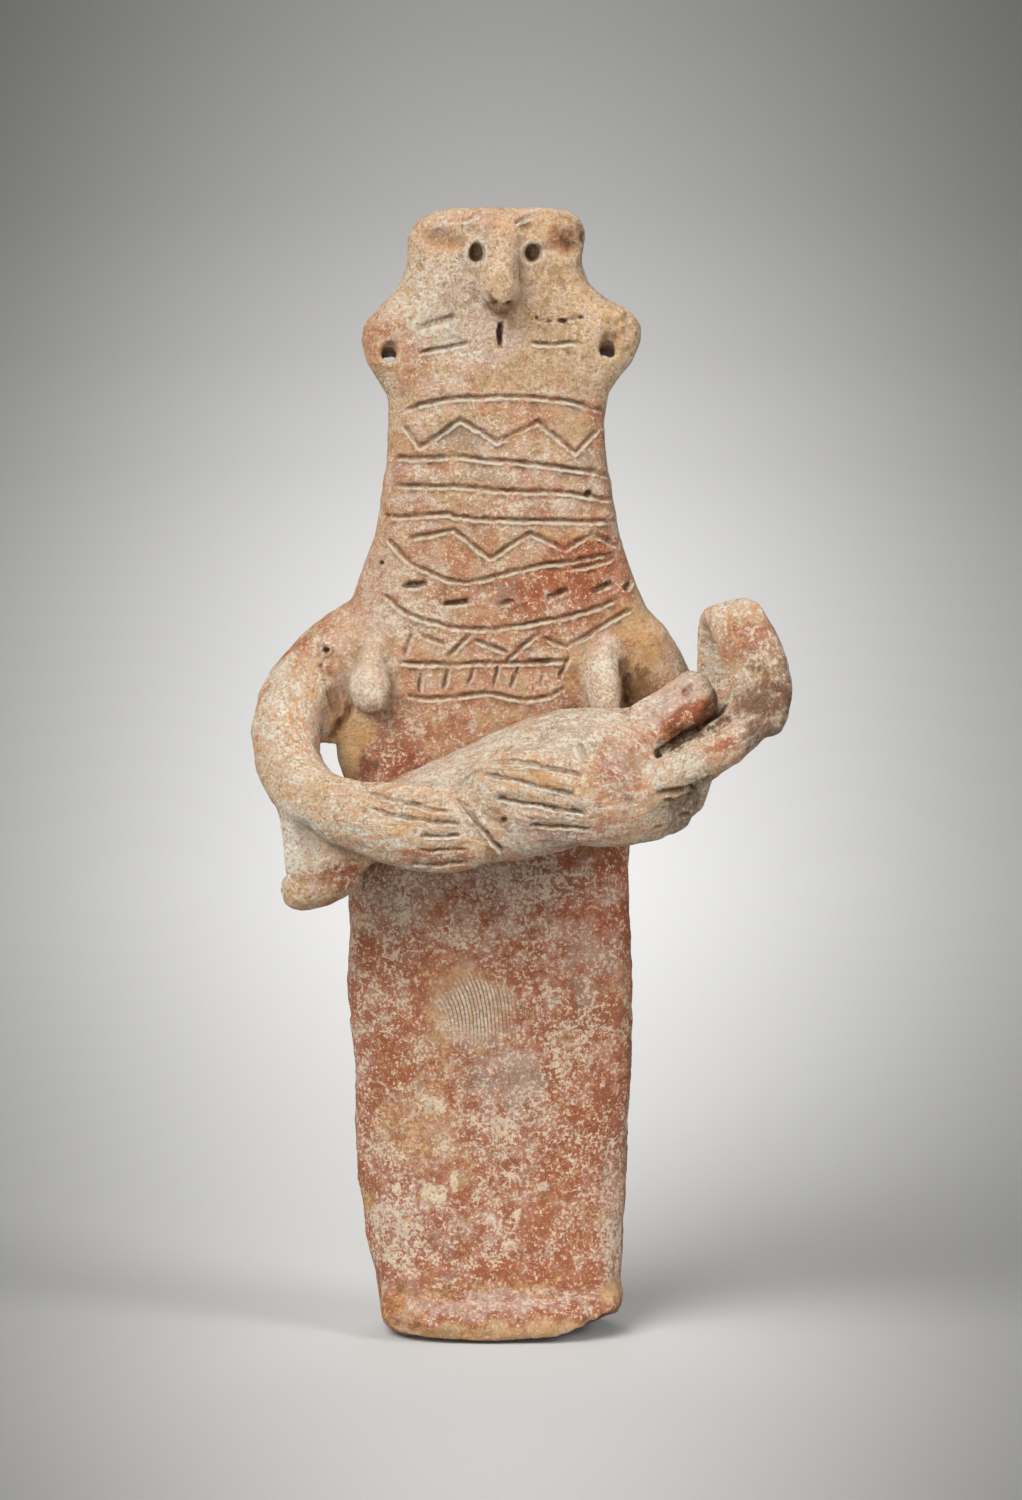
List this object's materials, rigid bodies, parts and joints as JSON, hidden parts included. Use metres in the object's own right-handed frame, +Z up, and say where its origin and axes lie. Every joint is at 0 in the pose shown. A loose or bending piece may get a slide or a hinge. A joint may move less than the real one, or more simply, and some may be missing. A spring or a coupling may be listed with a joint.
{
  "type": "terracotta plank figurine",
  "caption": "Flat standing terracotta figurine of a woman holding an infant on a cradleboard, with incised necklaces, pierced ears and a solid flat foot.",
  "frame": {"origin": "middle of the flat underside of the foot, on the plane that it stands on", "axes": "+Z up through the head, -Y the way the figure faces, +X towards the hooded end of the cradleboard"},
  "size_m": [0.0672, 0.0302, 0.1416],
  "materials": {
    "fired_clay": "matt low-fired terracotta with worn red-brown slip, pale lime deposit and buff clay showing through"
  },
  "bodies": {
    "root": {"figurine": "fired_clay"}
  },
  "joints": []
}
